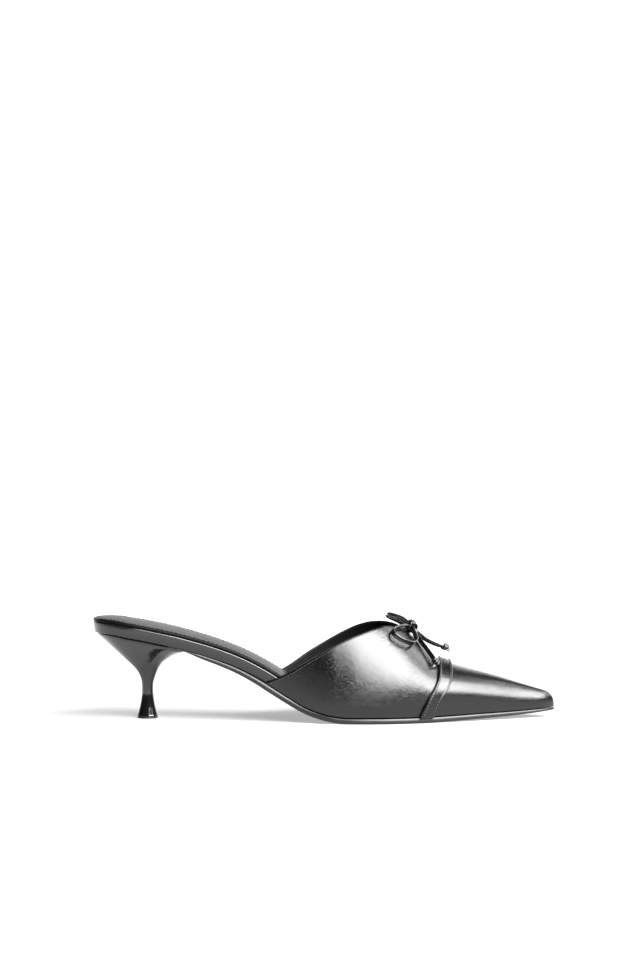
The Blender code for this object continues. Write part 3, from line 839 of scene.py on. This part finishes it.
def makeLift():
    half = heelFacts["baseLength"] / 2 - liftFacts["inset"]
    top, edge = heelFacts["baseHeight"] - shoe["gap"], liftFacts["topEdge"]
    profile = ((edge, top), (0.0, top - edge), *liftFacts["foot"])
    return stackRings("heelLift", rubberLift, [levelRing(half - i, half - i, z) for i, z in profile])


heelPiece, liftPiece = makeHeel(), makeLift()
print("heel and lift made")

# Band across the vamp

bandLook = {
    "width": 0.0083,
    "gap": 0.0005,
    "thickness": 0.0015,
    "half": 90,
    "across": 26,
    "edgeRound": 0.0009,
    "edgeHeight": 0.0004,
    "stitchShare": 0.17,
    "grooveHalf": 0.00030,
    "grooveDepth": 0.00016,
    "hollow": 0.00022,
    "hollowFrom": 0.0010,
    "hollowTo": 0.0022,
    "stitchSettle": 0.00008,
}


def bandPoints(across, half):
    # rows across the band, columns round the vamp
    share, side = wayRound(half)
    x = shoe["bandAt"] + bandLook["width"] * (across[:, None] - 0.5 - bandShift(share)[None, :])
    return sectionPoint(x, share, side), sectionNormal(x, share, side), share


def makeBand():
    n = bandLook["across"]
    across = np.arange(n + 1) / n
    points, normal, share = bandPoints(across, bandLook["half"])
    fromEdge = np.minimum(across, 1 - across) * bandLook["width"]
    inward = np.clip(fromEdge / bandLook["edgeRound"], 0, 1)
    rounded = np.sqrt(np.clip(1 - (1 - inward) ** 2, 0, 1))
    fromRow = fromEdge - bandLook["stitchShare"] * bandLook["width"]
    groove = np.exp(-((fromRow / bandLook["grooveHalf"]) ** 2)) * bandLook["grooveDepth"]
    hollow = bandLook["hollow"] * ease(fromEdge, bandLook["hollowFrom"], bandLook["hollowTo"])
    low = bandLook["edgeHeight"]
    lift = bandLook["gap"] + low + (bandLook["thickness"] - low) * rounded - groove - hollow
    outer = inShoe(points + normal * lift[:, None, None])
    inner = inShoe(points + normal * bandLook["gap"])
    count = len(share)
    rows = [*outer, *inner[::-1]]
    points = np.concatenate(rows)
    faces = []
    for r in range(len(rows)):
        nextRow = (r + 1) % len(rows)
        faces += quads(range(r * count, (r + 1) * count), range(nextRow * count, (nextRow + 1) * count))
    for column in (0, count - 1):
        line = [r * count + column for r in range(len(rows))]
        for r in range(n):
            faces.append((line[r], line[r + 1], line[-2 - r], line[-1 - r]))
    obj = makeMesh("vampBand", points, faces, [leatherVamp])
    faceOutward(obj)
    return obj


bandPiece = makeBand()
print("band made")

# Bow of folded strap

bowLook = {
    "width": 0.0030,
    "thick": 0.0013,
    "pieces": 70,
    "knotWidth": 0.0064,
    "loopShare": 0.22,
    "endTuck": 0.0008,
    "wrapTurns": 48,
    "wrapWander": 0.0003,
}
# Routes of the strap from the throat's ridge.
nearLoop = (
    (-0.0014, -0.0137, 0.0016), (-0.0047, -0.0202, 0.0014), (-0.0069, -0.0252, 0.0004),
    (-0.0061, -0.0282, -0.0018), (-0.0029, -0.0287, -0.0043), (0.0009, -0.0272, -0.0062),
    (0.0044, -0.0237, -0.0072), (0.0065, -0.0182, -0.0063), (0.0065, -0.0122, -0.0041),
)
farLoop = (
    (-0.0003, 0.0058, 0.0042), (-0.0040, 0.0118, 0.0054), (-0.0074, 0.0163, 0.0061),
    (-0.0090, 0.0193, 0.0056), (-0.0078, 0.0203, 0.0043), (-0.0044, 0.0183, 0.0031),
    (-0.0007, 0.0138, 0.0015), (0.0030, 0.0078, -0.0001),
)
nearEnd = (
    (0.0074, -0.0022, -0.0034), (0.0091, -0.0072, -0.0068), (0.0113, -0.0107, -0.0096),
    (0.0136, -0.0137, -0.0125), (0.0157, -0.0167, -0.0153),
)
farEnd = (
    (0.0076, 0.0018, -0.0031), (0.0105, 0.0058, -0.0058), (0.0138, 0.0088, -0.0083),
    (0.0174, 0.0113, -0.0102), (0.0206, 0.0133, -0.0115),
)
bowKnotAt = (0.0042, -0.0017, 0.0007)
nearKnotAt = (0.0178, -0.0199, -0.0182)
farKnotAt = (0.0243, 0.0148, -0.0125)
throatRidge = inShoe(sectionPoint(shoe["throatAt"], 1.0, -1.0))
# Bands wound over the centre knot: place, axis, across, radii, width.
knotWraps = {
    "wrapA": ((0, 0, 0), (0.25, -0.85, -0.35), (1, 0, 0), (0.0030, 0.0028), 0.0040),
    "wrapB": ((0.0002, -0.0012, 0.0001), (0.75, -0.60, -0.10), (0, 0, 1), (0.0031, 0.0028), 0.0030),
    "wrapC": ((-0.0002, 0.0010, 0.0002), (-0.55, -0.75, -0.30), (0, 0, 1), (0.0030, 0.0028), 0.0030),
}
# Knots on the loose ends: place, size, turn, tail.
nearTail = ((0, 0, 0), (-0.0010, -0.0012, -0.0018), (-0.0024, -0.0018, -0.0036))
farTail = ((0, 0, 0), (0.0014, 0.0004, -0.0014), (0.0030, 0.0006, -0.0026))
endKnots = {
    "endKnotNear": (nearKnotAt, 0.0064, 0.5, nearTail),
    "endKnotFar": (farKnotAt, 0.0062, -0.4, farTail),
}
windingLook = {
    "around": 72,
    "sides": 12,
    "strand": 0.150,
    "spread": 0.118,
    "lobe": 1.55,
    "depth": 1.25,
    "coreHalf": 0.0009 / 0.0046,
    "coreShare": 1.5,
    "tailWidth": 0.0019,
    "tailThick": 0.0010,
    "tailPieces": 10,
}


def smoothLine(places, count):
    places = [np.array(place) for place in places]
    fine = np.array(between(places, 24))
    reach = np.concatenate([[0.0], np.cumsum(np.linalg.norm(np.diff(fine, axis=0), axis=1))])
    at = np.linspace(0.0, reach[-1], count + 1)
    return np.stack([np.interp(at, reach, fine[:, k]) for k in range(3)], axis=-1), reach[-1]


def strapProfile(width, thick):
    # a strap folded over: two full edges and a shallow valley between them, on both faces
    half, rim = width / 2, thick / 2
    upper = [(-half, 0.0), (-half * 0.93, rim * 0.72), (-half * 0.72, rim), (-half * 0.42, rim * 0.80)]
    upper += [(-half * 0.14, rim * 0.62)]
    upper += [(-x, y) for x, y in reversed(upper)]
    lower = [(x, -y) for x, y in reversed(upper[1:-1])]
    return np.array(upper + lower)


def sweep(name, material, path, wide, profile, closed=False):
    # carries the profile along the path, its first axis along wide
    before, after = np.roll(path, 1, axis=0), np.roll(path, -1, axis=0)
    if not closed:
        before[0], after[-1] = path[0], path[-1]
    tangent = unit(after - before)
    wide = unit(wide - tangent * np.sum(wide * tangent, axis=1, keepdims=True))
    out = np.cross(tangent, wide)
    rings = path[:, None] + wide[:, None] * profile[None, :, :1] + out[:, None] * profile[None, :, 1:]
    size = len(profile)
    points = rings.reshape(-1, 3)
    faces = []
    for r in range(len(path) if closed else len(path) - 1):
        n = (r + 1) % len(path)
        faces += quads(range(r * size, (r + 1) * size), range(n * size, (n + 1) * size), True)
    if not closed:
        faces += [tuple(range(size)), tuple(range(len(points) - size, len(points)))]
    obj = makeMesh(name, points, faces, [material])
    faceOutward(obj)
    return obj


def strap(name, route, wideAxes):
    path, length = smoothLine([throatRidge + np.array(place) for place in route], bowLook["pieces"])
    stops = np.linspace(0.0, 1.0, len(wideAxes))
    at = np.linspace(0.0, 1.0, len(path))
    wide = np.stack([np.interp(at, stops, [axis[k] for axis in wideAxes]) for k in range(3)], axis=-1)
    obj = sweep(name, leatherBow, path, wide, strapProfile(bowLook["width"], bowLook["thick"]))
    print(name, "is", round(length * 1000, 1), "mm long")
    return obj, path, length


def wrap(name, centre, axis, across, radii, width):
    # a band of strap wound once round an axis
    turns = bowLook["wrapTurns"]
    axis, across = unit(np.array(axis)), np.array(across)
    across = unit(across - axis * np.dot(across, axis))
    other = np.cross(axis, across)
    angle = 2 * np.pi * np.arange(turns) / turns
    path = centre + across * (radii[0] * np.cos(angle))[:, None]
    path = path + other * (radii[1] * np.sin(angle))[:, None]
    path = path + axis * (bowLook["wrapWander"] * np.sin(2 * angle))[:, None]
    profile = strapProfile(width, bowLook["thick"])
    return sweep(name, leatherBow, path, np.tile(axis, (turns, 1)), profile, True)


def joinPieces(name, parts):
    points, faces = [], []
    for part in parts:
        start = len(points)
        points += [tuple(v.co) for v in part.data.vertices]
        faces += [tuple(start + k for k in f.vertices) for f in part.data.polygons]
        bpy.data.objects.remove(part, do_unlink=True)
    return makeMesh(name, points, faces, [leatherBow])


def overhand(name):
    # a small pulled knot: a closed three-lobed winding round a core, with a short tail
    place, size, turn, tail = endKnots[name]
    centre, around = throatRidge + np.array(place), windingLook["around"]
    angle = 2 * np.pi * np.arange(around) / around
    x = np.sin(angle) + windingLook["lobe"] * np.sin(2 * angle)
    y = np.cos(angle) - windingLook["lobe"] * np.cos(2 * angle)
    z = -windingLook["depth"] * np.sin(3 * angle)
    path = np.stack([x, y, z], axis=-1) * size * windingLook["spread"]
    c, s = math.cos(turn), math.sin(turn)
    path = path @ np.array([[c, 0, -s], [0, 1, 0], [s, 0, c]])
    sides = np.linspace(0, 2 * math.pi, windingLook["sides"], endpoint=False)
    strand = np.array([(math.cos(a), math.sin(a)) for a in sides]) * size * windingLook["strand"]
    axes = np.tile([0.3, 0.2, 1.0], (around, 1))
    winding = sweep("winding", leatherBow, centre + path, axes, strand, True)
    reach = size * windingLook["coreHalf"]
    corePath = centre + np.array([[0, 0, -reach], [0, 0, 0], [0, 0, reach]])
    axes = np.tile([1.0, 0, 0], (3, 1))
    core = sweep("core", leatherBow, corePath, axes, strand * windingLook["coreShare"])
    pieces = windingLook["tailPieces"]
    tailPath, _ = smoothLine([centre + np.array(step) for step in tail], pieces)
    profile = strapProfile(windingLook["tailWidth"], windingLook["tailThick"])
    axes = np.tile([0.2, 0.3, 1.0], (pieces + 1, 1))
    tailPiece = sweep("tail", leatherBow, tailPath, axes, profile)
    return joinPieces(name, [winding, core, tailPiece])


def makeBow():
    heart, near, far = (np.array(place) for place in (bowKnotAt, nearKnotAt, farKnotAt))

    def toward(place, target, reach):
        place, target = np.array(place), np.array(target)
        return tuple(place + unit(target - place) * reach)

    core = bowLook["knotWidth"] * bowLook["loopShare"]
    made = {}
    loops = (
        ("bowLoopNear", "bow_loop_near", nearLoop, [(0.53, -0.47, 0.70)] * 2),
        (
            "bowLoopFar", "bow_loop_far", farLoop,
            [(0.35, -0.35, 0.85), (0.20, -0.80, 0.55), (0.35, -0.35, 0.85)],
        ),
    )
    for name, node, route, wideAxes in loops:
        whole = [toward(heart, route[0], core), *route, toward(heart, route[-1], core)]
        made[name] = (*strap(name, whole, wideAxes), node, "object")
    ends = (
        ("bowEndNear", "bow_end_near", nearEnd, near, [(0.25, -0.75, 0.60), (0.45, -0.62, 0.65)]),
        ("bowEndFar", "bow_end_far", farEnd, far, [(0.30, -0.70, 0.60), (0.20, -0.85, 0.50)]),
    )
    for name, node, route, knotAt, wideAxes in ends:
        whole = [toward(heart, route[0], -bowLook["endTuck"]), *route, tuple(knotAt)]
        made[name] = (*strap(name, whole, wideAxes), node, "knot")
    centre = throatRidge + heart
    wraps = [wrap(name, centre + np.array(place), *rest) for name, (place, *rest) in knotWraps.items()]
    knot = joinPieces("bowKnot", wraps)
    nearKnot, farKnot = overhand("endKnotNear"), overhand("endKnotFar")
    return made, knot, nearKnot, farKnot


strands, bowKnot, nearKnot, farKnot = makeBow()
print("bow made")

# Stitches

stitchLook = {"thick": 0.00050, "rise": 0.00012, "sink": 0.6, "half": 120}
collarRow = {"search": 0.006, "searchSteps": 60, "trim": 4}
bandRow = {"trim": 5}
sockRow = {"from": 0.0026, "to": 0.150, "count": 240}
stitchRows = {
    # spacing and length of a stitch in metres
    "collarStitches": (0.0019, 0.0013),
    "bandStitches": (0.0019, 0.0013),
    "sockStitches": (0.0027, 0.0019),
}


def stitchTree():
    tree = bpy.data.node_groups.new("stitchRow", "GeometryNodeTree")
    face = tree.interface
    face.new_socket("Geometry", in_out="INPUT", socket_type="NodeSocketGeometry")
    for name in ("spacing", "stitchLength", "thickness"):
        face.new_socket(name, in_out="INPUT", socket_type="NodeSocketFloat")
    face.new_socket("thread", in_out="INPUT", socket_type="NodeSocketMaterial")
    face.new_socket("Geometry", in_out="OUTPUT", socket_type="NodeSocketGeometry")

    def add(kind, settings, links):
        node = tree.nodes.new(kind)
        for setting, value in settings.items():
            setattr(node, setting, value)
        for name, value in links.items():
            if isinstance(value, bpy.types.NodeSocket):
                tree.links.new(value, node.inputs[name])
            else:
                node.inputs[name].default_value = value
        return node

    given = add("NodeGroupInput", {}, {}).outputs
    line = add("GeometryNodeMeshToCurve", {}, {"Mesh": given["Geometry"]}).outputs[0]
    sockets = {"Curve": line, "Length": given["spacing"]}
    spaced = add("GeometryNodeResampleCurve", {"mode": "LENGTH"}, sockets).outputs[0]
    bead = add("GeometryNodeMeshUVSphere", {}, {"Segments": 8, "Rings": 6, "Radius": 0.5}).outputs["Mesh"]
    sockets = {"X": given["stitchLength"], "Y": given["thickness"], "Z": given["thickness"]}
    size = add("ShaderNodeCombineXYZ", {}, sockets)
    bead = add("GeometryNodeTransform", {}, {"Geometry": bead, "Scale": size.outputs[0]}).outputs[0]
    along = add("GeometryNodeInputTangent", {}, {}).outputs[0]
    turned = add("FunctionNodeAlignRotationToVector", {"axis": "X"}, {"Vector": along}).outputs[0]
    settings = {"data_type": "FLOAT_VECTOR"}
    up = add("GeometryNodeInputNamedAttribute", settings, {"Name": "surfaceUp"}).outputs[0]
    settings, sockets = {"axis": "Z", "pivot_axis": "X"}, {"Rotation": turned, "Vector": up}
    settled = add("FunctionNodeAlignRotationToVector", settings, sockets).outputs[0]
    sockets = {"Points": spaced, "Instance": bead, "Rotation": settled}
    placed = add("GeometryNodeInstanceOnPoints", {}, sockets).outputs[0]
    real = add("GeometryNodeRealizeInstances", {}, {"Geometry": placed}).outputs[0]
    done = add("GeometryNodeSetMaterial", {}, {"Geometry": real, "Material": given["thread"]}).outputs[0]
    add("NodeGroupOutput", {}, {"Geometry": done})
    return tree


stitching = stitchTree()


def makeStitches(name, lines):
    # lines: each a row of places and the surface's directions there
    points, ups, edges = [], [], []
    for places, directions in lines:
        start = len(points)
        points += [tuple(map(float, place)) for place in places]
        ups += [float(part) for direction in directions for part in direction]
        edges += [(k, k + 1) for k in range(start, len(points) - 1)]
    mesh = bpy.data.meshes.new(name + "Line")
    mesh.from_pydata(points, edges, [])
    mesh.attributes.new("surfaceUp", "FLOAT_VECTOR", "POINT").data.foreach_set("vector", ups)
    line = bpy.data.objects.new(name + "Line", mesh)
    bpy.context.scene.collection.objects.link(line)
    modifier = line.modifiers.new("stitches", "NODES")
    modifier.node_group = stitching
    spacing, length = stitchRows[name]
    values = {"spacing": spacing, "stitchLength": length}
    values |= {"thickness": stitchLook["thick"], "thread": threadFinish}
    for item in stitching.interface.items_tree:
        if item.in_out == "INPUT" and item.name in values:
            modifier[item.identifier] = values[item.name]
    made = bpy.data.meshes.new_from_object(line.evaluated_get(bpy.context.evaluated_depsgraph_get()))
    bpy.data.objects.remove(line, do_unlink=True)
    made.shade_smooth()
    piece = bpy.data.objects.new(name, made)
    bpy.context.scene.collection.objects.link(piece)
    return piece


def collarStitchLine():
    share, side = wayRound(stitchLook["half"])
    starts = collarPlace(share, side) + shoe["upperWall"] / 2
    ahead = np.linspace(0.0, collarRow["search"], collarRow["searchSteps"] + 1)[:, None]
    steps = np.linalg.norm(np.diff(sectionPoint(starts + ahead, share, side), axis=0), axis=-1)
    reach = np.concatenate([np.zeros((1, len(share))), np.cumsum(steps, axis=0)])
    inset = upperLook["stitchInset"]
    x = starts + np.array([np.interp(inset, reach[:, k], ahead[:, 0]) for k in range(len(share))])
    lift = stitchLook["rise"] - upperLook["stitchDepth"] * stitchLook["sink"]
    up = sectionNormal(x, share, side)
    kept = slice(collarRow["trim"], -collarRow["trim"])
    return inShoe(sectionPoint(x, share, side) + up * lift)[kept], up[kept]


def bandStitchLines():
    lines = []
    kept = slice(bandRow["trim"], -bandRow["trim"])
    for edgeShare in (bandLook["stitchShare"], 1 - bandLook["stitchShare"]):
        places, up, _ = bandPoints(np.array([edgeShare]), stitchLook["half"])
        lift = bandLook["gap"] + bandLook["thickness"] - bandLook["grooveDepth"] * stitchLook["sink"]
        lift += stitchLook["rise"] - bandLook["stitchSettle"]
        lines.append((inShoe(places + up * lift)[0][kept], up[0][kept]))
    return lines


def sockStitchLines():
    # round the lip of the sock, as far as the vamp lets it be seen
    x = np.linspace(sockRow["from"], sockRow["to"], sockRow["count"])
    rise = boardThickness(x) + shoe["gap"] + footbedLook["thickness"]
    rise = rise - footbedLook["groove"] / 2 + stitchLook["rise"]
    inset = footbedLook["stitchInset"]
    sides = [lifted(x, side * halfWidth(x, side, -inset), rise) for side in (-1, 1)]
    line = np.concatenate([sides[0][::-1], sides[1]])
    return [(line, np.tile([0.0, 0.0, 1.0], (len(line), 1)))]


collarStitches = makeStitches("collarStitches", [collarStitchLine()])
bandStitches = makeStitches("bandStitches", bandStitchLines())
sockStitches = makeStitches("sockStitches", sockStitchLines())
rows = ((collarStitches, "glossy_leather"), (bandStitches, "glossy_leather"), (sockStitches, "sock_leather"))
for piece, slotName in rows:
    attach(piece, "root")
print("stitches made")

# Pieces attached to the root body; the CAD parts they replace are hidden

rigid = (
    (upperPiece, "upper", "glossy_leather"),
    (boardPiece, "insole_board", "board_leather"),
    (footbedPiece, "footbed", "sock_leather"),
    (outsolePiece, "outsole", "sole_finish"),
    (heelPiece, "heel", "heel_finish"),
    (liftPiece, "heel_tip", "lift_rubber"),
    (bandPiece, "vamp_band", "glossy_leather"),
    (bowKnot, "bow_knot", "bow_leather"),
    (nearKnot, "end_knot_near", "bow_leather"),
    (farKnot, "end_knot_far", "bow_leather"),
)
for piece, node, slotName in rigid:
    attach(piece, "root")
    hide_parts(node)

exitPlace = tuple(throatRidge + np.array(bowKnotAt))
for name, (piece, path, length, node, farEnd) in strands.items():
    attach(piece, "root")
    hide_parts(node)
